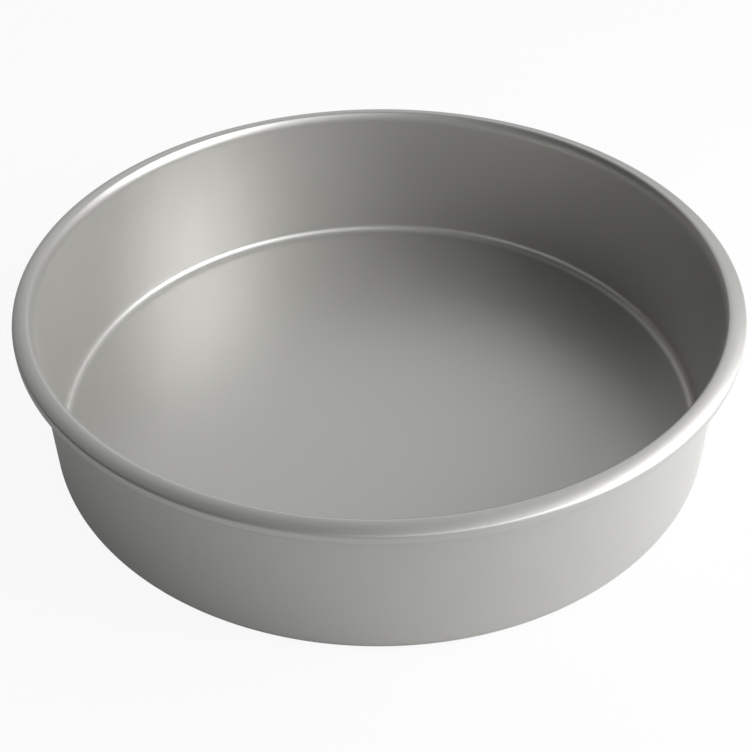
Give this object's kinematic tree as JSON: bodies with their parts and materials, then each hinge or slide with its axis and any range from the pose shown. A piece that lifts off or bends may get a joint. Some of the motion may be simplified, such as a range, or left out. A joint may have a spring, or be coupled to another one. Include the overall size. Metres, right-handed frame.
{
  "type": "round cake tin",
  "caption": "Round straight-sided cake tin drawn from one sheet, with a flat floor, a small corner radius and an edge folded outwards and rolled over a wire.",
  "frame": {"origin": "centre of the underside, on the surface that the tin stands on", "axes": "+Z is the tin's axis, from the floor to the mouth; X and Y lie in the plane of the floor, and the ends of the rim wire meet at +Y"},
  "size_m": [0.2166, 0.2166, 0.0505],
  "materials": {
    "anodised_aluminium": "matt anodised, light grey, with no grain",
    "steel_wire": "drawn galvanised wire, hidden inside the rolled edge"
  },
  "bodies": {
    "root": {"drawn_shell": "anodised_aluminium", "rim_wire": "steel_wire"}
  },
  "joints": []
}
